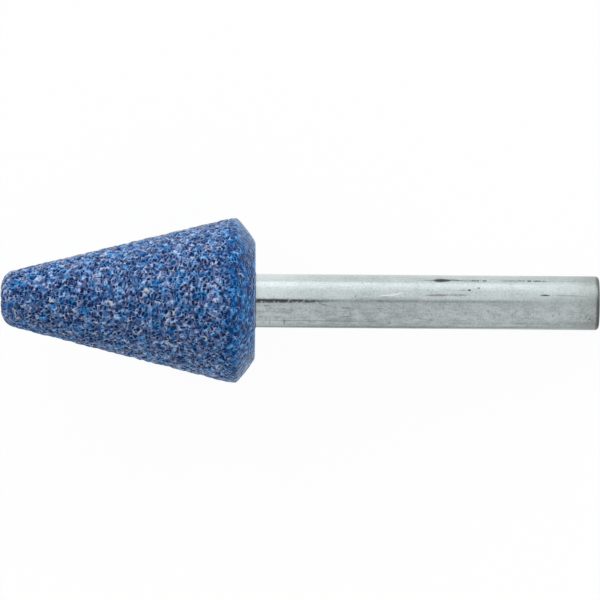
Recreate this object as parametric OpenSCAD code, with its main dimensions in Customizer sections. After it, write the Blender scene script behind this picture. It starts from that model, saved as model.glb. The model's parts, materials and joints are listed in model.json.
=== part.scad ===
// Mounted point: a conical abrasive head cemented onto a straight steel shank.
// It lies as it comes to rest, on the rim of the head and on the edge of the shank's free end.
// Sections are drawn in the plane of radius and distance from the tip face, and are then revolved.

/* [Abrasive head] */
// Largest diameter, over the straight land at the rim
head_d = 18.4; // [16:0.1:24]
// Length from the tip face to the flat back face
head_l = 28.4; // [26:0.1:45]
// Diameter of the cone at the tip face, before the tip's edge is rounded
tip_d = 5.75; // [4.25:0.05:9]
// Radius of the rounded edge of the tip
tip_edge_r = 2; // [0.5:0.1:2.6]
// Length of the straight land between the cone and the domed back
land_l = 0.8; // [0.2:0.1:4]
// Spherical radius of the domed back
back_dome_r = 13; // [10:0.5:40]
// Diameter of the flat face in the middle of the back
back_flat_d = 13; // [8:0.5:16]

/* [Shank] */
// Diameter of the shank, a standard collet size
shank_d = 6; // [3:0.5:8]
// Length that stands out of the head
shank_out_l = 38.4; // [25:0.1:70]
// Length that is held inside the head
shank_in_l = 18; // [8:0.5:20]
// Radius of the rounded edge of the free end
shank_end_r = 0.45; // [0.1:0.05:1]
// Chamfer on the end that is held inside the head
lead_chamfer = 0.5; // [0.2:0.1:1]
// Width of a keying groove
groove_w = 1.2; // [0.6:0.1:1.6]
// Depth of a keying groove
groove_depth = 0.3; // [0.1:0.05:0.6]
// Distance from one keying groove to the next
groove_pitch = 3; // [2.2:0.1:6]

/* [Cement] */
// Thickness of the cement around the shank
bond_gap = 0.2; // [0.05:0.05:0.4]
// Depth of the cement between the shank's inner end and the end of the hole
bond_end_l = 0.8; // [0.2:0.1:2]
// Width of the cement bead on the back face, out from the edge of the hole
bead_lap = 0.1; // [0.05:0.05:0.8]
// Height of the cement bead along the shank
bead_h = 0.1; // [0.05:0.05:1]

/* [Hidden] */
$fn = 96;

// Radii of the head, its hole and the shank
head_r = head_d / 2;
tip_r = tip_d / 2;
back_flat_r = back_flat_d / 2;
shank_r = shank_d / 2;
hole_r = shank_r + bond_gap;

// Distances from the tip face, along the axis
dome_s = head_l - sqrt(pow(back_dome_r, 2) - pow(back_flat_r, 2));
rim_s = dome_s + sqrt(pow(back_dome_r, 2) - pow(head_r, 2));
cone_end_s = rim_s - land_l;
shank_start_s = head_l - shank_in_l;
hole_end_s = shank_start_s - bond_end_l;
bead_end_s = head_l + bead_h;
total_l = head_l + shank_out_l;

// The keying grooves that fit on the held end, the first of them under the cement bead
groove_start_s = bead_end_s - groove_w;
groove_room = groove_start_s - shank_start_s - 2 * lead_chamfer;
groove_n = floor(groove_room / groove_pitch) + 1;

// Corners of the sections
tip_corner = [tip_r, 0];
cone_corner = [head_r, cone_end_s];
end_corner = [shank_r, total_l];

// The rest: the rim and the round edge of the free end touch the ground together
end_arc = arc_centre([shank_r, 0], end_corner, [0, total_l], shank_end_r);
tip_arc = arc_centre([0, 0], tip_corner, cone_corner, tip_edge_r);
rest_run = end_arc[1] - rim_s;
rest_drop = head_r - end_arc[0];
rest_tilt = atan2(rest_drop, rest_run) - asin(shank_end_r / norm([rest_run, rest_drop]));
rest_z = rim_s * sin(rest_tilt) + head_r * cos(rest_tilt);
rest_low_x = tip_arc[1] * cos(rest_tilt) - tip_arc[0] * sin(rest_tilt) - tip_edge_r;
rest_high_x = end_arc[1] * cos(rest_tilt) + end_arc[0] * sin(rest_tilt) + shank_end_r;
rest_x = -(rest_low_x + rest_high_x) / 2;

// Vector of length one along v
function unit(v) = v / norm(v);

// Half of the angle at corner b, between its neighbours a and c
function half_angle(a, b, c) = acos(unit(a - b) * unit(c - b)) / 2;

// Centre of the arc of radius r that rounds corner b
function arc_centre(a, b, c, r) =
    b + unit(unit(a - b) + unit(c - b)) * r / sin(half_angle(a, b, c));

// Point on the side from b to a where that arc begins
function arc_start(a, b, c, r) = b + unit(a - b) * r / tan(half_angle(a, b, c));

// What rounding corner b to radius r takes away
module corner_waste(a, b, c, r) {
    centre = arc_centre(a, b, c, r);
    difference() {
        polygon([b, arc_start(a, b, c, r), centre, arc_start(c, b, a, r)]);
        translate(centre) circle(r);
    }
}

// Section of the head without its hole: tip, cone, land, domed back and flat back face
module head_section() {
    difference() {
        polygon([[0, 0], tip_corner, cone_corner, [head_r, head_l], [0, head_l]]);
        corner_waste([0, 0], tip_corner, cone_corner, tip_edge_r);
        difference() {
            translate([0, rim_s]) square([head_d, head_l]);
            translate([0, dome_s]) circle(back_dome_r);
        }
    }
}

// Section of the blind hole for the shank
module hole_section() {
    translate([0, hole_end_s]) square([hole_r, head_l - hole_end_s]);
}

// Section of the shank, with its chamfer and keying grooves at one end and its round edge at the other
module shank_section() {
    difference() {
        polygon([
            [0, shank_start_s],
            [shank_r - lead_chamfer, shank_start_s],
            [shank_r, shank_start_s + lead_chamfer],
            end_corner,
            [0, total_l]
        ]);
        corner_waste([shank_r, shank_start_s], end_corner, [0, total_l], shank_end_r);
        for (i = [0 : groove_n - 1])
            translate([shank_r - groove_depth, groove_start_s - i * groove_pitch])
                square([shank_r, groove_w]);
    }
}

// Section of the bead that the cement leaves in the corner of the back face and the shank
module bead_section() {
    polygon([[0, head_l], [hole_r + bead_lap, head_l], [shank_r, bead_end_s], [0, bead_end_s]]);
}

// A section turned about the axis and laid down at rest, with the tip at -X and the shank at +X
module laid_revolve() {
    translate([rest_x, 0, rest_z])
        rotate([0, 90 + rest_tilt, 0])
            rotate_extrude()
                children();
}

// Pressed abrasive head with its blind hole
module abrasive_head() {
    color("steelblue")
        laid_revolve()
            difference() {
                head_section();
                hole_section();
            }
}

// Plated steel shank
module shank() {
    color("silver")
        laid_revolve()
            shank_section();
}

// Cement that fills the hole around the shank
module cement() {
    color("tan")
        laid_revolve()
            difference() {
                union() {
                    hole_section();
                    bead_section();
                }
                shank_section();
            }
}

abrasive_head();
shank();
cement();
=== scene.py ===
"""Looks of a mounted point: a blue abrasive cone cemented onto a zinc plated steel shank.

Every piece is a closed surface of revolution about the shank's axis. Its outline is walked as radius
against distance from the tip, carried round the axis as one array and pressed inwards by a relief.
The abrasive's relief and its colours come from the same random cells, so a dark pore is also a pit,
and the pores' darkness is partly painted shade.
"""

import json
import logging
import math
from dataclasses import dataclass
from enum import Enum
from typing import Callable, Optional, Sequence, Union

import bpy
import numpy as np
from mathutils import Euler, Matrix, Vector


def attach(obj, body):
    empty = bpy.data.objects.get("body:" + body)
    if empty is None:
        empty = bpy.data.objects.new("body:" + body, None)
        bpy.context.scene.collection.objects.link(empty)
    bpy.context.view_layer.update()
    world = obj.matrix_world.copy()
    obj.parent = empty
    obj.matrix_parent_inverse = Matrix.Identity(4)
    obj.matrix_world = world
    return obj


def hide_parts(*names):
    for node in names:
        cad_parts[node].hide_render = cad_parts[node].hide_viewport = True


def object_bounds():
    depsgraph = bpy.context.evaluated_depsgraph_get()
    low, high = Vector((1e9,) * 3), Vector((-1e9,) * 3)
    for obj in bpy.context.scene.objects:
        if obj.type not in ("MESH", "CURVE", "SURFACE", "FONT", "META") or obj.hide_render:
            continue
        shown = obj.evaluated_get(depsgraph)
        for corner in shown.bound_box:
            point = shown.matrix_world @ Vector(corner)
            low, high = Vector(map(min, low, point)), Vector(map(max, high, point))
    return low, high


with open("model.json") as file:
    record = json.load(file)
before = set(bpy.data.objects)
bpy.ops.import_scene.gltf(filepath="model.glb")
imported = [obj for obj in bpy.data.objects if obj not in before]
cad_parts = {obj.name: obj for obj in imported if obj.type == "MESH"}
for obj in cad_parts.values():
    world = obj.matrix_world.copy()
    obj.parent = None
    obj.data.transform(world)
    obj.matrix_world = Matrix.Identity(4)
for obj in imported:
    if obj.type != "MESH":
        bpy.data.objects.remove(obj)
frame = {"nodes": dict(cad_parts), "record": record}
CAD_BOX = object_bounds()

MM = 0.001
BODY = "root"
REST_PLACE = "rest_place"
NOISE_MIDDLE = 0.5
LOG = logging.getLogger("mounted_point")

Number = Union[float, "Value"]
Colour = tuple[float, float, float]
Stop = tuple[float, Colour]
Span = tuple[float, float]
Relief = Callable[[np.ndarray], np.ndarray]


class Slot(Enum):
    """Material slots of the part's record."""

    ABRASIVE = "abrasive"
    STEEL = "plated_steel"


class Node(Enum):
    """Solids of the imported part."""

    HEAD = "abrasive_head"
    SHANK = "shank"
    CEMENT = "cement"


class Tone(Enum):
    """Colours that a mark on the plating takes."""

    DARK = (0.055, 0.065, 0.07)
    RUST = (0.24, 0.222, 0.196)
    BRIGHT = (0.95, 0.97, 0.97)


def smooth_step(value: np.ndarray, low: float, high: float) -> np.ndarray:
    """Eases from 0 at low to 1 at high, as three times the square less twice the cube.

    Args:
        value: numbers to ease.
        low: where the step starts. It may lie above high, and then the step falls.
        high: where the step ends.

    Returns:
        The eased numbers, from 0 to 1.
    """
    share = np.clip((value - low) / (high - low), 0.0, 1.0)
    return share * share * (3.0 - 2.0 * share)


def shifted(span: Span, place: float) -> Span:
    """Moves a span to the place that it is measured from."""
    return place + span[0], place + span[1]


@dataclass(frozen=True)
class Axis:
    """The line that every piece turns about.

    It runs from the middle of the tip along the shank. Side is level and square to it, and face is
    square to both and points up.
    """

    tip: np.ndarray
    along: np.ndarray
    side: np.ndarray
    face: np.ndarray

    @classmethod
    def of_frame(cls) -> "Axis":
        """Takes the axis from the shank's mount, and its start from the head's solid.

        Returns:
            The axis in the part's frame.
        """
        grip = frame["record"]["mounts"][0]
        middle = np.array(grip["pos_m"])
        along = np.array(grip["axis"]) / np.linalg.norm(grip["axis"])
        side = np.array((0.0, 1.0, 0.0))
        start = ((cls.corners(Node.HEAD) - middle) @ along).min()
        return cls(middle + along * start, along, side, np.cross(along, side))

    @staticmethod
    def corners(node: Node) -> np.ndarray:
        """Reads the corners of a solid.

        Args:
            node: solid to read.

        Returns:
            Its corners, one in each row.
        """
        mesh = frame["nodes"][node.value].data
        flat = np.empty(3 * len(mesh.vertices))
        mesh.vertices.foreach_get("co", flat)
        return flat.reshape(-1, 3)

    def reach(self, node: Node) -> tuple[float, float, float]:
        """Measures a solid about the axis.

        Args:
            node: solid to measure.

        Returns:
            Its nearest and farthest distance from the tip, and its largest radius.
        """
        offset = self.corners(node) - self.tip
        distance = offset @ self.along
        radius = np.linalg.norm(offset - distance[:, None] * self.along, axis=1)
        return distance.min(), distance.max(), radius.max()

    def place(self, distance: np.ndarray, radius: np.ndarray, turn: np.ndarray) -> np.ndarray:
        """Places points about the axis: tip, plus distance along it, plus radius turned from face to side.

        Args:
            distance: distances from the tip.
            radius: distances from the axis.
            turn: angles from face towards side.

        Returns:
            The points, with their three coordinates last.
        """
        out = np.cos(turn)[..., None] * self.face + np.sin(turn)[..., None] * self.side
        return self.tip + distance[..., None] * self.along + radius[..., None] * out


class Outline:
    """A line of distance from the tip and radius, walked from one end on the axis to the other.

    It is walked so that the solid lies on its right, with distance across and radius up.
    """

    def __init__(self, distance: float, step: float) -> None:
        """Starts on the axis.

        Args:
            distance: distance of the start from the tip.
            step: distance between rows of points, until another is given.
        """
        self.rows: list[np.ndarray] = [np.array([[distance, 0.0]])]
        self.step = step

    def line(self, distance: float, radius: float, step: Optional[float] = None) -> "Outline":
        """Walks straight to a point.

        Args:
            distance: distance of the point from the tip.
            radius: radius of the point.
            step: distance between rows on this stretch.

        Returns:
            The outline, so that calls can be chained.
        """
        start = self.rows[-1][-1]
        end = np.array((distance, radius))
        count = max(1, round(np.linalg.norm(end - start) / (step or self.step)))
        share = np.linspace(0.0, 1.0, count + 1)[1:, None]
        self.rows.append(start + share * (end - start))
        return self

    def arc(self, centre: tuple[float, float], size: float, first: float, last: float,
            step: Optional[float] = None) -> "Outline":
        """Walks round an arc: centre, plus size times the cosine and the sine of the angle.

        Args:
            centre: distance and radius of the arc's centre.
            size: radius of the arc itself.
            first: angle at which the arc starts, where the outline already stands.
            last: angle at which it ends.
            step: distance between rows on this stretch.

        Returns:
            The outline, so that calls can be chained.
        """
        count = max(2, round(abs(last - first) * size / (step or self.step)))
        angle = np.linspace(first, last, count + 1)[1:]
        self.rows.append(np.array(centre) + size * np.stack((np.cos(angle), np.sin(angle)), 1))
        return self

    def points(self) -> np.ndarray:
        """Gives distance and radius of each row, in order."""
        return np.concatenate(self.rows)


@dataclass(frozen=True)
class Revolve:
    """A closed surface of revolution with a relief."""

    name: str
    axis: Axis
    outline: Outline
    columns: int
    relief: Optional[Relief] = None
    sharp: Optional[float] = None

    def build(self) -> bpy.types.Object:
        """Carries the outline round the axis and presses the relief in along the normals.

        The first and the last row lie on the axis, so each becomes one pole.

        Returns:
            The finished object, at the origin.
        """
        rows = self.outline.points()
        turn = np.linspace(-math.pi, math.pi, self.columns, endpoint=False)
        distance = np.broadcast_to(rows[1:-1, :1], (len(rows) - 2, self.columns))
        radius = np.broadcast_to(rows[1:-1, 1:], distance.shape)
        ring = self.axis.place(distance, radius, np.broadcast_to(turn, distance.shape))
        poles = self.axis.tip + rows[[0, -1], :1] * self.axis.along
        rest = np.concatenate((ring.reshape(-1, 3), poles))
        place = rest
        if self.relief is not None:
            place = rest - self.normals(rows, turn) * self.relief(rest)[:, None]
        mesh = bpy.data.meshes.new(self.name)
        mesh.from_pydata(place, (), self.faces(len(rows) - 2))
        layer = mesh.attributes.new(REST_PLACE, "FLOAT_VECTOR", "POINT")
        layer.data.foreach_set("vector", rest.astype(np.float32).ravel())
        mesh.shade_smooth()
        if self.sharp is not None:
            mesh.set_sharp_from_angle(angle=self.sharp)
        piece = bpy.data.objects.new(self.name, mesh)
        bpy.context.scene.collection.objects.link(piece)
        return piece

    def normals(self, rows: np.ndarray, turn: np.ndarray) -> np.ndarray:
        """Works out outward normals: the outline's tangent turned by a quarter and carried round.

        Args:
            rows: distance and radius of each row.
            turn: angle of each column.

        Returns:
            A normal for each point of the surface, with the two poles last.
        """
        tangent = np.gradient(rows, axis=0)[1:-1]
        tangent /= np.linalg.norm(tangent, axis=1, keepdims=True)
        flat = np.broadcast_to(-tangent[:, 1:], (len(tangent), len(turn)))
        out = np.broadcast_to(tangent[:, :1], flat.shape)
        wheel = np.broadcast_to(turn, flat.shape)
        ring = self.axis.place(flat, out, wheel) - self.axis.tip
        poles = np.stack((-self.axis.along, self.axis.along))
        return np.concatenate((ring.reshape(-1, 3), poles))

    def faces(self, rows: int) -> list[tuple[int, ...]]:
        """Joins neighbouring rows by four-sided faces, and the end rows to the poles by triangles.

        Args:
            rows: number of rings between the poles.

        Returns:
            Corner numbers of each face, turned outwards.
        """
        here = np.arange(self.columns)
        beside = np.roll(here, -1)
        start = self.columns * np.arange(rows - 1)[:, None]
        corners = (start + here, start + self.columns + here, start + self.columns + beside, start + beside)
        walls = np.stack(corners, -1).reshape(-1, 4)
        first = np.full(self.columns, rows * self.columns)
        end = self.columns * (rows - 1)
        fans = np.concatenate((np.stack((first, here, beside), 1),
                               np.stack((first + 1, end + beside, end + here), 1)))
        return [*map(tuple, walls.tolist()), *map(tuple, fans.tolist())]


class Value:
    """A shader socket that takes part in sums as a number does."""

    def __init__(self, graph: "Graph", socket: bpy.types.NodeSocket) -> None:
        """Keeps the socket and the graph that its sums go to."""
        self.graph = graph
        self.socket = socket

    def __add__(self, other: Number) -> "Value":
        """Adds a number or a value."""
        return self.graph.maths("ADD", self, other)

    def __sub__(self, other: Number) -> "Value":
        """Takes a number or a value away."""
        return self.graph.maths("SUBTRACT", self, other)

    def __mul__(self, other: Number) -> "Value":
        """Multiplies by a number or a value."""
        return self.graph.maths("MULTIPLY", self, other)

    def __rsub__(self, other: Number) -> "Value":
        """Takes this value away from a number."""
        return self.graph.maths("SUBTRACT", other, self)

    __radd__ = __add__
    __rmul__ = __mul__


Input = Union[float, Sequence[float], Value, bpy.types.NodeSocket]


@dataclass(frozen=True)
class Waves:
    """A cloudy pattern: features in each metre, number of finer layers and strength of each layer.

    Shrink is the share that is left of the first coordinate, which draws the pattern out along it.
    """

    scale: float
    detail: float = 2.0
    roughness: float = 0.5
    shrink: float = 1.0


class Graph:
    """A node tree that is written as expressions."""

    def __init__(self, tree: bpy.types.NodeTree) -> None:
        """Takes the tree and clears it."""
        self.tree = tree
        tree.nodes.clear()

    def node(self, kind: str, settings: Optional[dict] = None,
             inputs: Optional[dict[Union[str, int], Input]] = None) -> bpy.types.Node:
        """Adds a node.

        Args:
            kind: type of the node.
            settings: properties of the node, which are set first.
            inputs: numbers or links for its sockets, by name or by number.

        Returns:
            The new node.
        """
        made = self.tree.nodes.new(kind)
        for name, setting in (settings or {}).items():
            if name == "stops":
                self.set_stops(made.color_ramp.elements, setting)
            else:
                setattr(made, name, setting)
        for name, given in (inputs or {}).items():
            socket = made.inputs[name]
            source = given.socket if isinstance(given, Value) else given
            if isinstance(source, bpy.types.NodeSocket):
                self.tree.links.new(source, socket)
            else:
                socket.default_value = source
        return made

    def set_stops(self, elements: bpy.types.ColorRampElements, stops: Sequence[Stop]) -> None:
        """Gives a ramp its places and colours.

        Args:
            elements: stops of the ramp.
            stops: place and colour that each of them gets.
        """
        while len(elements) < len(stops):
            elements.new(1.0)
        for element, (place, colour) in zip(elements, stops):
            element.position = place
            element.color = self.full(colour)

    def maths(self, operation: str, first: Number, second: Number = 0.0) -> Value:
        """Adds a sum of two numbers or values.

        Args:
            operation: what the sum does.
            first: left side.
            second: right side.

        Returns:
            The result.
        """
        made = self.node("ShaderNodeMath", {"operation": operation}, {0: first, 1: second})
        return Value(self, made.outputs[0])

    def dot(self, vector: Input, direction: Sequence[float]) -> Value:
        """Gives the share of a vector along a direction."""
        made = self.node("ShaderNodeVectorMath", {"operation": "DOT_PRODUCT"}, {0: vector, 1: direction})
        return Value(self, made.outputs["Value"])

    def ease(self, value: Value, low: float, high: float) -> Value:
        """Eases from 0 at low to 1 at high, as smooth_step does.

        Args:
            value: what is eased.
            low: where the step starts, which lies below high.
            high: where the step ends.

        Returns:
            The eased value, from 0 to 1.
        """
        inputs = {"Value": value, "From Min": low, "From Max": high}
        made = self.node("ShaderNodeMapRange", {"interpolation_type": "SMOOTHSTEP"}, inputs)
        return Value(self, made.outputs["Result"])

    def blend(self, share: Number, first: Input, second: Input, way: str = "MIX") -> bpy.types.NodeSocket:
        """Mixes two colours.

        Args:
            share: how much of the second shows, from 0 to 1.
            first: colour underneath.
            second: colour on top.
            way: how the second is laid on.

        Returns:
            The mixed colour's socket.
        """
        settings = {"data_type": "RGBA", "blend_type": way, "clamp_factor": True}
        made = self.node("ShaderNodeMix", settings, {0: share, 6: self.full(first), 7: self.full(second)})
        return made.outputs[2]

    @staticmethod
    def full(colour: Input) -> Input:
        """Gives a plain colour its fourth number, and leaves a socket as it is."""
        return (*colour, 1.0) if isinstance(colour, tuple) else colour

    def grey(self, value: Value) -> bpy.types.NodeSocket:
        """Makes a grey of a value."""
        return self.node("ShaderNodeCombineColor", None, {0: value, 1: value, 2: value}).outputs[0]

    def noise(self, place: Input, waves: Waves) -> Value:
        """Adds a cloudy pattern.

        Args:
            place: coordinates.
            waves: scale and layers of the pattern.

        Returns:
            The pattern, from 0 to 1 and about a half on average.
        """
        if waves.shrink < 1.0:
            inputs = {0: place, 1: (waves.shrink, 1.0, 1.0)}
            place = self.node("ShaderNodeVectorMath", {"operation": "MULTIPLY"}, inputs).outputs[0]
        inputs = {"Vector": place, "Scale": waves.scale, "Detail": waves.detail}
        made = self.node("ShaderNodeTexNoise", None, {**inputs, "Roughness": waves.roughness})
        return Value(self, made.outputs[0])

    def cells(self, place: Input, scale: float, feature: str = "F1") -> tuple[Value, bpy.types.NodeSocket]:
        """Adds a pattern of random cells.

        Args:
            place: coordinates.
            scale: cells in each metre.
            feature: F1 for the nearest point, or F2 for the one after it.

        Returns:
            The distance to that point, in cells, and the random colour of its cell.
        """
        settings = {"feature": feature, "voronoi_dimensions": "3D"}
        made = self.node("ShaderNodeTexVoronoi", settings, {"Vector": place, "Scale": scale})
        return Value(self, made.outputs["Distance"]), made.outputs["Color"]

    def chance(self, colour: bpy.types.NodeSocket) -> Value:
        """Gives the first of the three random numbers in a cell's colour."""
        return Value(self, self.node("ShaderNodeSeparateColor", None, {0: colour}).outputs[0])

    def surface(self, inputs: dict[str, Input], height: Value) -> None:
        """Ends a material with one shader and its bump.

        Args:
            inputs: numbers or links of the shader.
            height: relief in metres, for the bump.
        """
        bump = self.node("ShaderNodeBump", None, {"Strength": 1.0, "Distance": 1.0, "Height": height})
        shader = self.node("ShaderNodeBsdfPrincipled", None, {**inputs, "Normal": bump.outputs[0]})
        self.node("ShaderNodeOutputMaterial", None, {"Surface": shader.outputs[0]})


def new_material(name: str) -> tuple[bpy.types.Material, Graph]:
    """Makes an empty material.

    Args:
        name: name of the material.

    Returns:
        The material and the graph that fills it.
    """
    material = bpy.data.materials.new(name)
    material.use_nodes = True
    return material, Graph(material.node_tree)


@dataclass(frozen=True)
class Cells:
    """Random cells in space, the same ones that the shader's cell pattern has.

    Space is cut into cubes, and each cube holds one point at a place that a hash of its whole-number
    corner gives. A place belongs to the nearest point.
    """

    scale: float

    STIR = ((0, 2, 1, 4), (1, 0, 2, 6), (2, 1, 0, 8), (0, 2, 1, 16), (1, 0, 2, 19), (2, 1, 0, 4))
    SETTLE = ((2, 1, 14), (0, 2, 11), (1, 0, 25), (2, 1, 16), (0, 2, 4), (1, 0, 14), (2, 1, 24))
    SEED = 0xDEADBEEF
    SEED_STEP = 13
    WORD = 0xFFFFFFFF

    @staticmethod
    def rolled(word: np.ndarray, shift: int) -> np.ndarray:
        """Rolls the bits of each word to the left."""
        return (word << np.uint32(shift)) | (word >> np.uint32(32 - shift))

    def hashed(self, corner: np.ndarray, extra: Optional[float]) -> np.ndarray:
        """Hashes the bits of three numbers, and of a fourth where there is one.

        Args:
            corner: the three numbers, last.
            extra: the fourth number.

        Returns:
            A number from 0 to 1 for each corner.
        """
        bits = np.ascontiguousarray(corner, np.float32).view(np.uint32)
        length = 3 if extra is None else 4
        seed = np.uint32((self.SEED + (length << 2) + self.SEED_STEP) & self.WORD)
        words = [bits[..., k] + seed for k in range(3)]
        if extra is not None:
            for target, source, other, shift in self.STIR:
                words[target] = (words[target] - words[source]) ^ self.rolled(words[source], shift)
                words[source] = words[source] + words[other]
            words[0] = words[0] + np.float32(extra).view(np.uint32)
        for target, source, shift in self.SETTLE:
            words[target] = (words[target] ^ words[source]) - self.rolled(words[source], shift)
        return words[2] / self.WORD

    def near(self, points: np.ndarray) -> tuple[np.ndarray, np.ndarray, np.ndarray]:
        """Finds the nearest point of the cells around each place.

        Args:
            points: places, one in each row.

        Returns:
            Distances to the nearest and to the next point, in cubes, and the nearest point's three
            random numbers.
        """
        scaled = (points * self.scale).astype(np.float32)
        corner = np.floor(scaled)
        first = np.full(len(points), np.inf)
        second = first.copy()
        tone = np.zeros((len(points), 3))
        for offset in np.stack(np.meshgrid(*[(-1.0, 0.0, 1.0)] * 3), -1).reshape(-1, 3):
            cube = corner + offset.astype(np.float32)
            random = np.stack([self.hashed(cube, extra) for extra in (None, 1.0, 2.0)], -1)
            distance = np.linalg.norm(cube + random - scaled, axis=1)
            closer = distance < first
            second = np.where(closer, first, np.minimum(second, distance))
            first = np.where(closer, distance, first)
            tone[closer] = random[closer]
        return first, second, tone


@dataclass(frozen=True)
class GrainFinish:
    """Open, glassy bonded grain: pores whose darkness is partly painted shade, pale ridges between them and
    clouds of blue and violet.

    Violet and blue each hold the colours of the tones, from 0 in the deepest pore to 1 on the palest
    ridge. The tip's span is measured from the start of the cone, and the back's spans from its end.
    """

    axis: Axis
    cone_start: float
    cone_end: float
    # Relief
    grains_per_metre: float = 2350.0
    lumps_per_metre: float = 1050.0
    warp: float = 0.10 * MM
    warp_waves: float = 9000.0
    warp_turn: Colour = (0.7, 1.1, 0.4)
    pit_depth: float = 0.30 * MM
    pit_span: Span = (0.35, 0.90)
    lump_depth: float = 0.13 * MM
    lump_span: Span = (0.2, 0.95)
    tip_span: Span = (-1.4 * MM, 0.6 * MM)
    back_span: Span = (-0.6 * MM, 0.6 * MM)
    tip_openness: float = 0.7
    cone_gain: float = 0.3
    back_loss: float = 0.9
    # Tone of the open grain, whose dark cell cores and pores are partly painted shade
    ridge_span: Span = (0.44, 0.98)
    core_low: float = -0.10
    core_gain: float = 0.48
    rim_low: float = -0.38
    rim_gain: float = 2.10
    ridges: Waves = Waves(1800.0, 1.0)
    fine: Waves = Waves(5200.0, 2.0, 0.6)
    fine_gain: float = 0.45
    pores_per_metre: float = 2900.0
    pore_span: Span = (0.12, 0.50)
    pore_chance: Span = (0.45, 0.60)
    pore_shade: float = 0.45
    tone_lift: float = 0.03
    # Tone of the closer skin on the tip and the back
    middle_tone: float = 0.38
    skin_evening: float = 0.12
    skin_loss: float = 0.04
    back_tone_span: Span = (-1.5 * MM, 1.0 * MM)
    back_tone: float = -0.29
    patches: Waves = Waves(950.0, 1.0)
    patch_span: Span = (0.42, 0.56)
    patch_tone: float = 0.20
    # Hue
    drifts: Waves = Waves(1250.0, 1.0)
    drift_middle: float = 0.25
    hue_low: float = 0.07
    hue_gain: float = 5.0
    back_hue: float = 0.42
    patch_hue: float = 0.85
    violet: tuple[Colour, ...] = (
        (0.012, 0.030, 0.112), (0.029, 0.053, 0.158), (0.073, 0.103, 0.233),
        (0.152, 0.190, 0.355), (0.264, 0.302, 0.495), (0.480, 0.515, 0.670),
    )
    blue: tuple[Colour, ...] = (
        (0.0, 0.028, 0.140), (0.0, 0.070, 0.255), (0.012, 0.146, 0.408),
        (0.048, 0.235, 0.550), (0.112, 0.312, 0.625), (0.290, 0.480, 0.755),
    )
    chalk: Colour = (0.56, 0.565, 0.56)
    chalk_bits: Waves = Waves(900.0)
    chalk_span: Span = (0.63, 0.72)
    chalk_tones: Span = (0.25, 0.65)
    chalk_share: float = 0.55
    # Gloss
    pore_roughness: float = 0.85
    ridge_gloss: float = 0.2
    bump: float = 0.06 * MM
    specular: float = 0.12
    sheen: float = 1.0
    sheen_roughness: float = 0.35
    sheen_tint: Colour = (0.78, 0.89, 1.0)

    def openness(self, distance: np.ndarray) -> np.ndarray:
        """Works out how open the grain is.

        Args:
            distance: distances from the tip.

        Returns:
            Shares: 1 on the cone, less on the tip and nearly 0 on the closer skin of the back.
        """
        rise = smooth_step(distance, *shifted(self.tip_span, self.cone_start))
        back = smooth_step(distance, *shifted(self.back_span, self.cone_end))
        return (self.tip_openness + self.cone_gain * rise) * (1.0 - self.back_loss * back)

    def warped(self, points: np.ndarray) -> np.ndarray:
        """Bends the cells: adds the sine of the turned place, so that no ridge stays straight."""
        turn = np.array(Euler(self.warp_turn).to_matrix())
        return points + self.warp * np.sin(self.warp_waves * (points @ turn.T))

    def relief(self, points: np.ndarray) -> np.ndarray:
        """Works out how deep the grain lies under the plain form.

        Args:
            points: places on the plain form, one in each row.

        Returns:
            Depths in metres: each cell is a pit, the darker the deeper, and ridges between them stay high.
            Wider lumps lie under the pits, high in their middle and low between them.
        """
        first, second, tone = Cells(self.grains_per_metre).near(self.warped(points))
        hollow = 1.0 - smooth_step(first / second, *self.pit_span)
        pits = self.pit_depth * hollow * (1.0 - tone[:, 0] ** 2)
        between = smooth_step(Cells(self.lumps_per_metre).near(points)[0], *self.lump_span)
        lumps = self.lump_depth * between
        return self.openness((points - self.axis.tip) @ self.axis.along) * (pits + lumps)

    def material(self) -> bpy.types.Material:
        """Makes the material.

        Returns:
            A matt material whose pores and ridges fall on those of the relief.
        """
        material, graph = new_material("open_blue_grain")
        place = graph.node("ShaderNodeAttribute", {"attribute_name": REST_PLACE}).outputs["Vector"]
        distance = graph.dot(place, self.axis.along) - float(self.axis.tip @ self.axis.along)
        rise = graph.ease(distance, *shifted(self.tip_span, self.cone_start))
        back = graph.ease(distance, *shifted(self.back_tone_span, self.cone_end))
        skin = 1.0 - rise * (1.0 - back)
        patch = graph.ease(graph.noise(place, self.patches), *self.patch_span)
        tone = self.open_tone(graph, place)
        tone = self.middle_tone + (tone - self.middle_tone) * (1.0 - self.skin_evening * skin)
        tone = tone - self.skin_loss * skin + back * (self.patch_tone * patch + self.back_tone)
        drift = graph.noise(place, self.drifts) - self.drift_middle
        share = self.hue_low + self.hue_gain * drift * drift
        share = share + (self.back_hue + self.patch_hue * patch - share) * back
        colour = graph.blend(share, self.ramp(graph, tone, self.violet), self.ramp(graph, tone, self.blue))
        bits = graph.ease(graph.noise(place, self.chalk_bits), *self.chalk_span)
        bits = bits * graph.ease(tone, *self.chalk_tones)
        colour = graph.blend(bits * self.chalk_share, colour, self.chalk)
        roughness = self.pore_roughness - self.ridge_gloss * tone
        glaze = {"Specular IOR Level": self.specular, "Sheen Weight": self.sheen,
                 "Sheen Roughness": self.sheen_roughness, "Sheen Tint": graph.full(self.sheen_tint)}
        graph.surface({"Base Color": colour, "Roughness": roughness, **glaze}, tone * self.bump)
        return material

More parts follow.
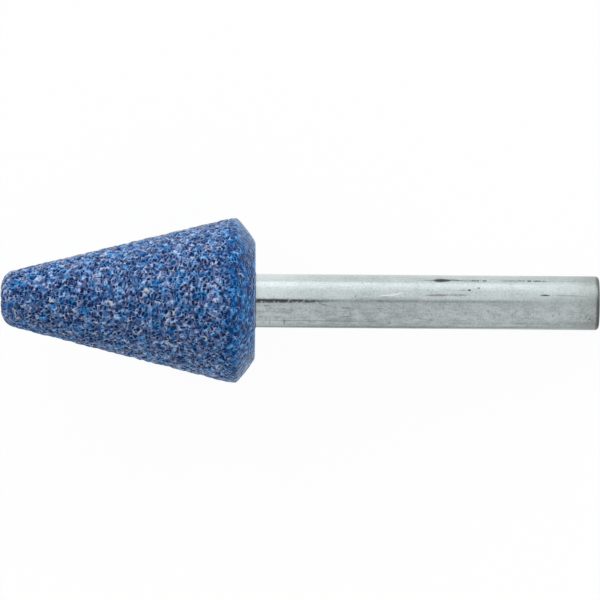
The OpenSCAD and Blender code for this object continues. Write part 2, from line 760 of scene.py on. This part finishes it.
    def open_tone(self, graph: Graph, place: bpy.types.NodeSocket) -> Value:
        """Works out the tone of the open grain.

        The shader bends the place as warped does. Each cell has a dark core, by its chance, partly the
        bond's own deep blue and partly painted shade in its pit, and turns into the paler ridges at its
        rim. Fine waves and smaller pores, painted dark as shade though they have no pits, lie over both.

        Args:
            graph: graph of the material.
            place: places on the plain form.

        Returns:
            The tone, from about 0 to 1.
        """
        inputs = {"Vector": place, "Rotation": self.warp_turn, "Scale": (self.warp_waves,) * 3}
        turned = graph.node("ShaderNodeMapping", None, inputs).outputs[0]
        sine = graph.node("ShaderNodeVectorMath", {"operation": "SINE"}, {0: turned}).outputs[0]
        inputs = {0: sine, 1: (self.warp,) * 3, 2: place}
        bent = graph.node("ShaderNodeVectorMath", {"operation": "MULTIPLY_ADD"}, inputs).outputs[0]
        nearest, cell_colour = graph.cells(bent, self.grains_per_metre)
        following, _ = graph.cells(bent, self.grains_per_metre, "F2")
        shape = graph.ease(graph.maths("DIVIDE", nearest, following), *self.ridge_span)
        chance = graph.chance(cell_colour)
        core = self.core_low + self.core_gain * chance * chance
        rim = self.rim_low + self.rim_gain * graph.noise(place, self.ridges)
        fine = graph.noise(place, self.fine) - NOISE_MIDDLE
        tone = core + (rim - core) * shape + self.fine_gain * fine
        middle, pore_colour = graph.cells(bent, self.pores_per_metre)
        hole = 1.0 - graph.ease(middle, *self.pore_span)
        open_pore = graph.ease(graph.chance(pore_colour), *self.pore_chance)
        # The smaller pores are painted darker, as shade in them, without pits in the relief.
        return tone + self.tone_lift - self.pore_shade * hole * open_pore

    @staticmethod
    def ramp(graph: Graph, tone: Value, colours: tuple[Colour, ...]) -> bpy.types.NodeSocket:
        """Colours a tone from 0 to 1 by evenly spaced colours."""
        stops = [(k / (len(colours) - 1), colour) for k, colour in enumerate(colours)]
        return graph.node("ShaderNodeValToRGB", {"stops": stops}, {0: tone}).outputs[0]


@dataclass
class AbrasiveHead:
    """The pressed cone of grain, with a rounded tip, a straight land, a domed back and a blind hole."""

    axis: Axis
    hole_radius: float = 3.2 * MM
    hole_end: float = 9.6 * MM
    tip_radius: float = 2.875 * MM
    tip_edge: float = 2.0 * MM
    land: float = 0.8 * MM
    dome: float = 13.0 * MM
    back_radius: float = 6.5 * MM
    cone_edge: float = 2.0 * MM
    rim_edge: float = 0.35 * MM
    back_edge: float = 0.6 * MM
    columns: int = 392
    row_step: float = 0.145 * MM
    wall_step: float = 6.0 * MM
    floor_step: float = 1.6 * MM
    grain_start: float = 2.2 * MM
    tip_margin: float = 1.0 * MM
    mouth_span: Span = (0.1 * MM, 0.5 * MM)

    def __post_init__(self) -> None:
        """Works out the sizes that follow from the solid and from the driving sizes."""
        _, self.end, self.rim = self.axis.reach(Node.HEAD)
        self.dome_centre = self.end - math.sqrt(self.dome ** 2 - self.back_radius ** 2)
        self.rim_end = self.dome_centre + math.sqrt(self.dome ** 2 - self.rim ** 2)
        self.cone_end = self.rim_end - self.land
        self.slope = math.atan2(self.rim - self.tip_radius, self.cone_end)

    def outline(self) -> Outline:
        """Walks the tip face, its round edge, the cone, the land, the domed back, its face and the hole.

        The edges of the land and of the back face are broken by small arcs that touch both neighbours.

        Returns:
            The outline from the middle of the tip to the middle of the hole's end.
        """
        quarter = math.pi / 2
        inset = self.tip_edge * math.tan(math.pi / 4 - self.slope / 2)
        centre = (self.tip_edge, self.tip_radius - inset)
        walk = Outline(0.0, self.row_step)
        walk.line(0.0, centre[1])
        walk.arc(centre, self.tip_edge, math.pi, quarter + self.slope)
        reach = self.cone_edge * math.tan(self.slope / 2)
        walk.line(self.cone_end - reach * math.cos(self.slope), self.rim - reach * math.sin(self.slope))
        cone_centre = (self.cone_end + reach, self.rim - self.cone_edge)
        walk.arc(cone_centre, self.cone_edge, quarter + self.slope, quarter)
        rim_centre = self.rim - self.rim_edge
        rim_along = math.sqrt((self.dome - self.rim_edge) ** 2 - rim_centre ** 2)
        back_along = self.end - self.back_edge - self.dome_centre
        back_centre = math.sqrt((self.dome - self.back_edge) ** 2 - back_along ** 2)
        first = math.atan2(rim_centre, rim_along)
        last = math.atan2(back_centre, back_along)
        walk.line(self.dome_centre + rim_along, self.rim)
        walk.arc((self.dome_centre + rim_along, rim_centre), self.rim_edge, quarter, first)
        walk.arc((self.dome_centre, 0.0), self.dome, first, last)
        walk.arc((self.dome_centre + back_along, back_centre), self.back_edge, last, 0.0)
        walk.line(self.end, self.hole_radius)
        walk.line(self.hole_end, self.hole_radius, self.wall_step)
        walk.line(self.hole_end, 0.0, self.floor_step)
        return walk

    def build(self) -> bpy.types.Object:
        """Makes the head with its relief, which fades out at the hole.

        Returns:
            The finished piece.
        """
        finish = GrainFinish(self.axis, self.grain_start, self.cone_end)

        def relief(points: np.ndarray) -> np.ndarray:
            """Presses the grain in, but not in the hole or close round its mouth.

            Args:
                points: places on the plain form, one in each row.

            Returns:
                Depths in metres.
            """
            offset = points - self.axis.tip
            distance = offset @ self.axis.along
            radius = np.linalg.norm(offset - distance[:, None] * self.axis.along, axis=1)
            outside = smooth_step(radius, *shifted(self.mouth_span, self.hole_radius))
            at_tip = distance < self.hole_end - self.tip_margin
            return finish.relief(points) * np.where(at_tip, 1.0, outside)

        piece = Revolve("head_grain", self.axis, self.outline(), self.columns, relief).build()
        piece.data.materials.append(finish.material())
        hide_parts(Node.HEAD.value)
        return piece


@dataclass(frozen=True)
class Mark:
    """A mark on the plating: a stretch along the shank, a turn round it, a width and a strength.

    Turns are in degrees from the line that faces up, towards the level side. Slant is the change of
    turn from start to end. A broken mark is split into dashes.
    """

    start: float
    end: float
    turn: float
    width: float
    strength: float
    slant: float = 0.0
    tone: Tone = Tone.DARK
    broken: bool = False


MARKS = (
    Mark(48.0 * MM, 50.4 * MM, 53.4, 0.80 * MM, 0.98),
    Mark(49.0 * MM, 51.6 * MM, 55.6, 0.36 * MM, 0.55, -1.2),
    Mark(46.0 * MM, 52.8 * MM, 53.6, 0.24 * MM, 0.55),
    Mark(50.4 * MM, 53.6 * MM, 53.0, 0.44 * MM, 0.34, -0.4),
    Mark(52.2 * MM, 54.9 * MM, 53.1, 0.30 * MM, 0.98, -0.4, broken=True),
    Mark(55.2 * MM, 58.4 * MM, 53.4, 0.20 * MM, 0.62),
    Mark(56.6 * MM, 61.8 * MM, 54.0, 0.28 * MM, 0.98, -0.8, broken=True),
    Mark(61.4 * MM, 65.6 * MM, 53.6, 0.16 * MM, 0.35),
    Mark(47.1 * MM, 50.4 * MM, 14.0, 0.33 * MM, 0.78, 0.9, Tone.RUST),
    Mark(49.5 * MM, 52.3 * MM, 15.4, 0.38 * MM, 0.30, -0.5),
    Mark(50.2 * MM, 52.3 * MM, 15.6, 0.14 * MM, 0.50, -0.4, broken=True),
    Mark(52.05 * MM, 52.5 * MM, 26.9, 0.36 * MM, 0.90),
    Mark(50.9 * MM, 52.3 * MM, 24.8, 0.22 * MM, 0.28, 2.2),
    Mark(53.1 * MM, 53.5 * MM, 32.0, 0.30 * MM, 0.62),
    Mark(60.0 * MM, 61.4 * MM, 16.0, 0.20 * MM, 0.95),
    Mark(61.2 * MM, 65.6 * MM, 16.2, 0.14 * MM, 0.42, -1.4),
    Mark(41.9 * MM, 44.3 * MM, 11.4, 0.13 * MM, 0.75, 4.5, Tone.BRIGHT),
    Mark(43.2 * MM, 45.2 * MM, 10.9, 0.13 * MM, 0.80, 10.5, Tone.BRIGHT),
    Mark(26.0 * MM, 46.0 * MM, -47.0, 0.20 * MM, 0.40, -0.6),
    Mark(29.98 * MM, 30.18 * MM, -55.2, 1.5 * MM, 0.34),
    Mark(31.54 * MM, 31.80 * MM, -53.0, 1.1 * MM, 0.50),
    Mark(39.50 * MM, 39.70 * MM, 11.3, 0.46 * MM, 0.55),
    # A faint painted dark reflection along the line that faces up, beyond the streak at the root.
    Mark(39.0 * MM, 47.6 * MM, 4.4, 0.80 * MM, 0.16),
    Mark(37.8 * MM, 39.0 * MM, -14.2, 0.16 * MM, 0.45),
    Mark(37.8 * MM, 39.3 * MM, -34.5, 0.16 * MM, 0.40),
    Mark(35.3 * MM, 36.7 * MM, -4.0, 0.17 * MM, 0.45, -6.0),
    Mark(29.2 * MM, 30.2 * MM, -10.3, 0.20 * MM, 0.40),
    Mark(41.9 * MM, 43.0 * MM, -15.5, 0.15 * MM, 0.35),
)


@dataclass(frozen=True)
class PlatedFinish:
    """Dull zinc plating on drawn steel: grey, mottled, streaked along the rod and scratched.

    A tone of 0 is dull, and 1 is bright zinc. Spans along the rod are measured from the root or from the
    free end, and those across it from the axis towards the bright side. The bands across it paint light and
    shade: the edges and halves on the bright and dim sides are painted lighter or darker.
    """

    axis: Axis
    radius: float
    root: float
    end: float
    zinc: Colour = (0.69, 0.765, 0.77)
    dull: Colour = (0.428, 0.485, 0.483)
    oxide: Colour = (0.045, 0.052, 0.056)
    handled_tint: Colour = (0.81, 0.785, 0.77)
    # Colour of the painted dark reflection that streaks out from the root.
    root_painted_reflection: Colour = (0.065, 0.085, 0.105)
    # Patterns
    streaks: Waves = Waves(3600.0, 3.0, 0.6, 0.06)
    specks: Waves = Waves(4800.0, 3.0, 0.65, 0.75)
    smears: Waves = Waves(2100.0, 2.0, 0.55, 0.40)
    clouds: Waves = Waves(620.0, 3.0, 0.55)
    grits: Waves = Waves(6800.0, 2.0, 0.6)
    blots: Waves = Waves(3000.0, 1.0)
    dashes: Waves = Waves(2400.0, 1.0)
    rings: Waves = Waves(5200.0)
    dots_per_metre: float = 1700.0
    # Stretches along the rod, the first from the root and the others from the free end
    worn_span: Span = (0.0, 10.0 * MM)
    end_light_span: Span = (-21.0 * MM, -13.0 * MM)
    handled_end_and_painted_light_span: Span = (-11.0 * MM, -3.0 * MM)
    ending_span: Span = (-3.6 * MM, -0.5 * MM)
    edge_span: Span = (-0.60 * MM, -0.20 * MM)
    face_span: Span = (-0.06 * MM, -0.02 * MM)
    # Bands across it, for painted light and shade by side and for the dim half's stronger mottling
    bright_edge_light_span: Span = (1.9 * MM, 2.8 * MM)
    dim_half_span: Span = (-1.2 * MM, 0.6 * MM)
    dim_band_shade_span: Span = (-2.15 * MM, -1.75 * MM)
    dim_edge_span: Span = (-2.5 * MM, -1.9 * MM)
    dim_limb_light_span: Span = (-2.75 * MM, -2.25 * MM)
    # Tone, with painted light and shade on the bright and dim sides
    fresh_tone: float = 0.66
    worn_loss: float = 0.24
    bright_edge_light_gain: float = 0.4
    dim_half_end_light: float = 0.33
    bright_half_end_shade: float = 0.20
    dim_edge_light_gain: float = 0.36
    dim_edge_shade_worn: float = 0.56
    dim_edge_shade_end: float = 0.40
    dim_limb_light_gain: float = 0.85
    dim_limb_light_end_gain: float = 0.30
    dim_band_shade: float = 0.25
    # Mottling
    speck_share: float = 0.6
    cloud_share: float = 0.3
    streak_share: float = 0.18
    smear_share: float = 0.56
    smear_worn_loss: float = 0.16
    mottle_gain: float = 2.3
    mottle_dim_half_gain: float = 2.0
    # Dark spots
    speck_spots: Span = (0.60, 0.72)
    cloud_spots: Span = (0.4, 0.65)
    grit_spots: Span = (0.60, 0.72)
    grit_share: float = 0.8
    dot_span: Span = (0.08, 0.26)
    dot_chance: Span = (0.55, 0.7)
    dot_share: float = 0.65
    spot_share: float = 0.28
    spot_dim_half_gain: float = 0.35
    # Marks, and the streak at the root, which is a painted dark reflection
    mark_fade: Span = (0.15, 1.0)
    dash_span: Span = (0.4, 0.55)
    root_span: Span = (1.0 * MM, 11.0 * MM)
    root_turn: float = math.radians(-0.4)
    root_width: float = math.radians(1.6)
    root_flare: float = math.radians(2.6)
    root_fade: float = math.radians(2.0)
    root_ends: Span = (0.0, 0.5)
    root_blots: Span = (0.40, 0.62)
    root_gain: float = 0.14
    root_strength: float = 0.90
    # Free end
    rim_span: Span = (-0.45 * MM, -0.33 * MM)
    rim_share: float = 0.76
    ring_span: Span = (0.42, 0.62)
    ring_share: float = 0.22
    # Gloss and bump
    fresh_roughness: float = 0.12
    worn_roughness: float = 0.05
    handled_roughness: float = 0.16
    speck_roughness: float = 0.06
    cloud_roughness: float = 0.03
    streak_height: float = 0.0006 * MM
    speck_height: float = 0.0003 * MM
    cloud_height: float = 0.002 * MM
    fresh_height: float = 0.4
    worn_height: float = 0.6

    def material(self) -> bpy.types.Material:
        """Makes the material.

        Returns:
            A metal with mottling, drawn streaks, marks, a painted dark reflection at the root, painted
            light and shade by side and a dark free edge.
        """
        material, graph = new_material("dull_zinc_plating")
        place = graph.node("ShaderNodeTexCoord").outputs["Object"]
        lean = math.atan2(-self.axis.along[2], self.axis.along[0])
        inputs = {"Vector": place, "Location": tuple(self.axis.tip), "Rotation": (0.0, lean, 0.0)}
        turned = graph.node("ShaderNodeMapping", {"vector_type": "TEXTURE"}, inputs).outputs[0]
        split = graph.node("ShaderNodeSeparateXYZ", None, {0: turned})
        distance, side, face = (Value(graph, socket) for socket in split.outputs)
        turn = graph.maths("ARCTAN2", side, face)
        radius = graph.maths("SQRT", side * side + face * face)
        streak = graph.noise(turned, self.streaks)
        speck = graph.noise(turned, self.specks)
        smear = graph.noise(turned, self.smears)
        cloud = graph.noise(turned, self.clouds)
        worn = graph.ease(distance, *shifted(self.worn_span, self.root))
        paler = graph.ease(distance, *shifted(self.end_light_span, self.end))
        handled_end_and_painted_light = graph.ease(distance, *shifted(self.handled_end_and_painted_light_span, self.end))
        # Masks across the rod by side, for painted light and shade: the bright edge, the dim half, a band
        # near the dim edge, the dim edge and its outermost part.
        bright_edge_light = graph.ease(side, *self.bright_edge_light_span) * (1.0 - worn)
        dim_half = 1.0 - graph.ease(side, *self.dim_half_span)
        low = 1.0 - graph.ease(side, *self.dim_band_shade_span)
        under = 1.0 - graph.ease(side, *self.dim_edge_span)
        dim_limb_light = 1.0 - graph.ease(side, *self.dim_limb_light_span)
        mottle = (speck - NOISE_MIDDLE) * self.speck_share + (cloud - NOISE_MIDDLE) * self.cloud_share
        mottle = mottle + (streak - NOISE_MIDDLE) * self.streak_share
        smeared = self.smear_share - self.smear_worn_loss * worn
        mottle = mottle + (smear - NOISE_MIDDLE) * dim_half * smeared
        # Painted light: the bright edge of the rod is lighter near the root.
        tone = self.fresh_tone - self.worn_loss * worn + self.bright_edge_light_gain * bright_edge_light
        # Painted light and shade: towards the free end the dim half is painted paler and the bright half
        # darker.
        tone = tone + self.dim_half_end_light * paler * dim_half - self.bright_half_end_shade * handled_end_and_painted_light * (1.0 - dim_half)
        # Painted light and shade on the dim edge: lighter near the root, darker further out and darkest
        # near the free end. The mottling is stronger on the dim half.
        below = self.dim_edge_light_gain - self.dim_edge_shade_worn * worn - self.dim_edge_shade_end * handled_end_and_painted_light
        tone = tone + under * below + mottle * (self.mottle_gain + self.mottle_dim_half_gain * dim_half)
        # Painted light on the outermost dim edge towards the free end, and painted shade in the band just
        # inside it.
        lift = self.dim_limb_light_gain * paler + self.dim_limb_light_end_gain * handled_end_and_painted_light
        tone = tone + dim_limb_light * lift - self.dim_band_shade * low * paler
        colour = graph.blend(tone, self.dull, self.zinc)
        spots = graph.ease(speck, *self.speck_spots) * graph.ease(cloud, *self.cloud_spots)
        grit = graph.ease(graph.noise(turned, self.grits), *self.grit_spots)
        middle, dot_colour = graph.cells(turned, self.dots_per_metre)
        near_dot = 1.0 - graph.ease(middle, *self.dot_span)
        dots = near_dot * graph.ease(graph.chance(dot_colour), *self.dot_chance)
        spots = spots + grit * self.grit_share + dots * self.dot_share
        colour = graph.blend(spots * (self.spot_share + self.spot_dim_half_gain * dim_half), colour, self.oxide)
        tones = list(Tone)
        for mark in sorted(MARKS, key=lambda mark: tones.index(mark.tone)):
            share = self.mark_share(graph, mark, distance, turn, speck)
            colour = graph.blend(share, colour, mark.tone.value)
        blots = graph.noise(turned, self.blots)
        # Painted dark reflection along the line that faces up, streaking out from the root.
        colour = graph.blend(self.root_reflection_share(graph, distance, turn, blots), colour, self.root_painted_reflection)
        ending = graph.ease(distance, *shifted(self.ending_span, self.end))
        colour = graph.blend(ending, colour, self.handled_tint, "MULTIPLY")
        rim = graph.ease(distance, *shifted(self.edge_span, self.end))
        rim = rim * graph.ease(radius, *shifted(self.rim_span, self.radius))
        colour = graph.blend(rim * self.rim_share, colour, self.oxide)
        rings = graph.ease(graph.noise(graph.grey(radius), self.rings), *self.ring_span)
        rings = rings * graph.ease(distance, *shifted(self.face_span, self.end))
        colour = graph.blend(rings * self.ring_share, colour, self.oxide)
        roughness = self.fresh_roughness + self.worn_roughness * worn + self.handled_roughness * handled_end_and_painted_light
        roughness = roughness + self.speck_roughness * speck + self.cloud_roughness * cloud
        height = streak * self.streak_height + speck * self.speck_height + cloud * self.cloud_height
        height = height * (self.fresh_height + self.worn_height * worn)
        graph.surface({"Base Color": colour, "Roughness": roughness, "Metallic": 1.0}, height)
        return material

    def mark_share(self, graph: Graph, mark: Mark, distance: Value, turn: Value, speck: Value) -> Value:
        """Works out how much of a mark shows at a place.

        Args:
            graph: graph of the material.
            mark: the mark.
            distance: distance from the tip.
            turn: angle from the line that faces up.
            speck: fine noise, which frays the mark.

        Returns:
            A share that is full in the middle of the mark and fades to its ends and sides.
        """
        half = 0.5 * (mark.end - mark.start)
        middle = 0.5 * (mark.start + mark.end)
        offset = (distance - middle) * (1.0 / half)
        centre = math.radians(mark.turn + 0.5 * mark.slant)
        across = turn - centre - offset * math.radians(0.5 * mark.slant)
        across = across * (2.0 * self.radius / mark.width)
        reach = offset * offset + across * across + (speck - NOISE_MIDDLE)
        body = 1.0 - graph.ease(reach, *self.mark_fade)
        if mark.broken:
            body = body * graph.ease(graph.noise(graph.grey(distance), self.dashes), *self.dash_span)
        return body * mark.strength

    def root_reflection_share(self, graph: Graph, distance: Value, turn: Value, blots: Value) -> Value:
        """Works out the mottled dark streak that runs out of the head along the upper line, a painted
        reflection of the dark gap above.

        Args:
            graph: graph of the material.
            distance: distance from the tip.
            turn: angle from the line that faces up.
            blots: noise that breaks it up.

        Returns:
            Its share, which fades over the first part of the shank.
        """
        along = 1.0 - graph.ease(distance, *shifted(self.root_span, self.root))
        across = graph.maths("ABSOLUTE", turn - self.root_turn)
        width = self.root_width + along * self.root_flare
        body = 1.0 - graph.ease(across - width, -self.root_fade, self.root_fade)
        broken = graph.ease(blots + self.root_gain * along, *self.root_blots)
        return body * graph.ease(along, *self.root_ends) * broken * self.root_strength


@dataclass
class Shank:
    """The turned rod: a chamfered end with ring grooves for the cement, and a rounded free end."""

    axis: Axis
    chamfer: float = 0.5 * MM
    groove_width: float = 1.2 * MM
    groove_depth: float = 0.3 * MM
    groove_pitch: float = 3.0 * MM
    bead_height: float = 0.10 * MM
    end_edge: float = 0.45 * MM
    columns: int = 160
    row_step: float = 0.5 * MM
    edge_step: float = 0.08 * MM
    sharp: float = math.radians(32.0)

    def __post_init__(self) -> None:
        """Works out the sizes that follow from the solids."""
        self.start, self.end, self.radius = self.axis.reach(Node.SHANK)
        self.root = self.axis.reach(Node.HEAD)[1]
        first = self.root + self.bead_height - self.groove_width
        count = math.floor((first - self.start - 2.0 * self.chamfer) / self.groove_pitch) + 1
        self.grooves = [first - self.groove_pitch * k for k in reversed(range(count))]

    def outline(self) -> Outline:
        """Walks the held end, its chamfer, the grooves, the free wall, the round edge and the end face.

        Returns:
            The outline from the middle of the held end to the middle of the free end.
        """
        walk = Outline(self.start, self.row_step)
        walk.line(self.start, self.radius - self.chamfer)
        walk.line(self.start + self.chamfer, self.radius)
        floor = self.radius - self.groove_depth
        for groove in self.grooves:
            walk.line(groove, self.radius)
            walk.line(groove, floor)
            walk.line(groove + self.groove_width, floor)
            walk.line(groove + self.groove_width, self.radius)
        walk.line(self.end - self.end_edge, self.radius)
        centre = (self.end - self.end_edge, self.radius - self.end_edge)
        walk.arc(centre, self.end_edge, math.pi / 2, 0.0, self.edge_step)
        walk.line(self.end, 0.0)
        return walk

    def build(self) -> bpy.types.Object:
        """Makes the shank.

        Returns:
            The finished piece.
        """
        shape = Revolve("plated_rod", self.axis, self.outline(), self.columns, None, self.sharp)
        piece = shape.build()
        piece.data.materials.append(PlatedFinish(self.axis, self.radius, self.root, self.end).material())
        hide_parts(Node.SHANK.value)
        return piece


@dataclass(frozen=True)
class CementFinish:
    """Dry cement: a paste as blue as the grain beside it, with patches of fine grey-brown grit."""

    paste: Colour = (0.055, 0.085, 0.16)
    grit: Colour = (0.36, 0.34, 0.29)
    grains: Waves = Waves(4200.0, 4.0, 0.65)
    grain_span: Span = (0.35, 0.6)
    patches: Waves = Waves(520.0)
    patch_span: Span = (0.45, 0.62)
    roughness: float = 0.78
    grain_roughness: float = 0.15
    bump: float = 0.04 * MM

    def material(self) -> bpy.types.Material:
        """Makes the material.

        Returns:
            A rough material with grit in patches.
        """
        material, graph = new_material("dry_cement")
        place = graph.node("ShaderNodeTexCoord").outputs["Object"]
        grain = graph.noise(place, self.grains)
        patch = graph.ease(graph.noise(place, self.patches), *self.patch_span)
        colour = graph.blend(patch * graph.ease(grain, *self.grain_span), self.paste, self.grit)
        roughness = self.roughness + self.grain_roughness * grain
        graph.surface({"Base Color": colour, "Roughness": roughness}, grain * self.bump)
        return material


@dataclass(frozen=True)
class Studio:
    """A pale floor under a soft dome, brighter on one side, with a small dark gap above.

    Spans of the dome are shares of a direction along the part, towards its bright side or up, and the
    softboxes' share along the part is squared. Spans of the floor are distances towards the bright side.
    """

    axis: Axis
    # Dome
    dim_side: float = 0.66
    bright_side: float = 0.95
    bright_span: Span = (-0.12, 0.3)
    band_level: float = 0.46
    band_side: Span = (0.5, 0.9)
    band_up: Span = (0.15, 0.8)
    box_level: float = 1.75
    box_along: Span = (0.05, 0.16)
    box_side: Span = (0.25, 0.6)
    box_up: Span = (0.55, 0.8)
    gap_depth: float = 0.80
    gap_along: float = 0.10
    gap_across: float = 0.115
    gap_side: float = 0.045
    gap_fade: Span = (0.3, 1.3)
    gap_up: Span = (0.0, 0.3)
    ahead_depth: float = 0.35
    ahead_along: Span = (0.25, 0.75)
    ahead_side: Span = (0.15, 0.5)
    # Floor
    half_width: float = 6.0
    floor_gap: float = 0.01 * MM
    floor_albedo: float = 0.96
    seen_white: float = 0.95
    mirrored_white: float = 1.0
    mirrored_loss: float = 0.5
    dim_floor: float = 0.52
    dim_span: Span = (-8.0 * MM, 8.0 * MM)
    near_painted_shadow: float = 0.16
    near_span: Span = (-11.5 * MM, -9.0 * MM)
    below_gain: float = 0.30
    below_span: Span = (-8.0 * MM, -5.5 * MM)

    def build(self) -> None:
        """Sets the dome and the floor."""
        self.dome()
        self.floor()

    def dome(self) -> None:
        """Colours the sky by direction.

        It rises from the dim side to the bright side. The bright side has a low band and two
        softboxes, one towards each end of the part. A gap nearly straight above the shank is darker, and
        so is the dim side ahead of the free end. The camera sees it plain white.
        """
        world = bpy.data.worlds.new("soft_dome")
        world.use_nodes = True
        bpy.context.scene.world = world
        graph = Graph(world.node_tree)
        ray = graph.node("ShaderNodeTexCoord").outputs["Generated"]
        side = graph.dot(ray, tuple(self.axis.side))
        along = graph.dot(ray, tuple(self.axis.along))
        up = graph.dot(ray, (0.0, 0.0, 1.0))
        level = self.dim_side + (self.bright_side - self.dim_side) * graph.ease(side, *self.bright_span)
        band = graph.ease(side, *self.band_side) * (1.0 - graph.ease(up, *self.band_up)) * self.band_level
        boxes = graph.ease(along * along, *self.box_along) * graph.ease(side, *self.box_side)
        level = level + boxes * self.box_level * (1.0 - graph.ease(up, *self.box_up))
        stretch = along * (1.0 / self.gap_along)
        width = (side - self.gap_side) * (1.0 / self.gap_across)
        gap = graph.maths("SQRT", stretch * stretch + width * width)
        shade = (1.0 - graph.ease(gap, *self.gap_fade)) * graph.ease(up, *self.gap_up) * self.gap_depth
        seen = Value(graph, graph.node("ShaderNodeLightPath").outputs["Is Camera Ray"])
        ahead = graph.ease(along, *self.ahead_along) * (1.0 - graph.ease(side, *self.ahead_side))
        ahead = ahead * self.ahead_depth
        lit = (level + band) * (1.0 - shade) * (1.0 - ahead)
        tone = graph.grey(lit + (1.0 - lit) * seen)
        sky = graph.node("ShaderNodeBackground", None, {"Color": tone, "Strength": 1.0})
        graph.node("ShaderNodeOutputWorld", None, {"Surface": sky.outputs[0]})

    def floor(self) -> None:
        """Lays the floor, which is mostly white to the camera and keeps part of the shadow.

        In mirrored rays it is white too, and falls off on the dim side. There it has a painted shadow in a
        band beside the part, lighter again closer to it, in place of the real shadow.
        """
        height = CAD_BOX[0][2] - self.floor_gap
        signs = ((-1.0, -1.0), (1.0, -1.0), (1.0, 1.0), (-1.0, 1.0))
        corners = [(across * self.half_width, away * self.half_width, height) for across, away in signs]
        mesh = bpy.data.meshes.new("floor")
        mesh.from_pydata(corners, (), [(0, 1, 2, 3)])
        floor = bpy.data.objects.new("floor", mesh)
        bpy.context.scene.collection.objects.link(floor)
        material, graph = new_material("white_floor")
        path = graph.node("ShaderNodeLightPath")
        camera, glossy, clear = (Value(graph, path.outputs[name])
                                 for name in ("Is Camera Ray", "Is Glossy Ray", "Is Transmission Ray"))
        place = graph.node("ShaderNodeTexCoord").outputs["Object"]
        beside = graph.dot(place, tuple(self.axis.side))
        dim = 1.0 - graph.ease(beside, *self.dim_span)
        near = graph.ease(beside, *self.near_span)
        below = graph.ease(beside, *self.below_span)
        mirrored = self.mirrored_white * (1.0 - self.mirrored_loss * dim * (1.0 - near))
        share = camera * self.seen_white + (glossy + clear) * mirrored
        matt = graph.node("ShaderNodeBsdfDiffuse", None, {"Color": graph.full((self.floor_albedo,) * 3)})
        # Painted shadow in mirrored rays: darker in a band on the dim side beside the part, lighter again
        # closer to it.
        loss = self.dim_floor + near * self.near_painted_shadow - below * self.below_gain
        tone = graph.grey(1.0 - glossy * dim * loss)
        white = graph.node("ShaderNodeEmission", None, {"Color": tone, "Strength": 1.0})
        mixed = graph.node("ShaderNodeMixShader", None, {0: share, 1: matt.outputs[0], 2: white.outputs[0]})
        graph.node("ShaderNodeOutputMaterial", None, {"Surface": mixed.outputs[0]})
        mesh.materials.append(material)


@dataclass(frozen=True)
class PhotoCamera:
    """A long lens square above the axis, which looks down on the part and shows it from the side.

    View is the width of what it sees at the axis. Centre is where it looks, along the axis from the
    tip and up from the axis in the picture. Roll turns the free end down in the picture.
    """

    axis: Axis
    view: float = 67.04 * MM
    distance: float = 650.0 * MM
    centre_along: float = 33.417 * MM
    centre_up: float = 0.105 * MM
    roll: float = math.radians(0.45)
    sensor: float = 36.0
    clip: Span = (0.01, 100.0)

    def build(self) -> None:
        """Makes the camera and gives it to the scene."""
        along, side, face = self.axis.along, self.axis.side, self.axis.face
        right = along * math.cos(self.roll) + side * math.sin(self.roll)
        up = side * math.cos(self.roll) - along * math.sin(self.roll)
        target = self.axis.tip + along * self.centre_along + up * self.centre_up
        place = target + face * self.distance
        data = bpy.data.cameras.new("camera")
        data.sensor_width = self.sensor
        data.lens = self.sensor * self.distance / self.view
        data.clip_start, data.clip_end = self.clip
        camera = bpy.data.objects.new("camera", data)
        columns = np.stack((right, up, face, place), 1)
        camera.matrix_world = Matrix(np.vstack((columns, (0, 0, 0, 1))).tolist())
        bpy.context.scene.collection.objects.link(camera)
        bpy.context.scene.camera = camera


def main() -> None:
    """Builds the scene: the camera, the studio and then each piece of the part."""
    logging.basicConfig(level=logging.INFO, format="%(message)s")
    bpy.context.scene.view_settings.view_transform = "Standard"
    axis = Axis.of_frame()
    PhotoCamera(axis).build()
    Studio(axis).build()
    for assembly in (AbrasiveHead(axis), Shank(axis)):
        piece = assembly.build()
        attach(piece, BODY)
        LOG.info("%s: %d corners, %d faces", piece.name, len(piece.data.vertices), len(piece.data.polygons))
    cement = frame["nodes"][Node.CEMENT.value]
    cement.data.materials.clear()
    cement.data.materials.append(CementFinish().material())
    LOG.info("%s: kept from the solids", cement.name)


if __name__ == "__main__":
    main()
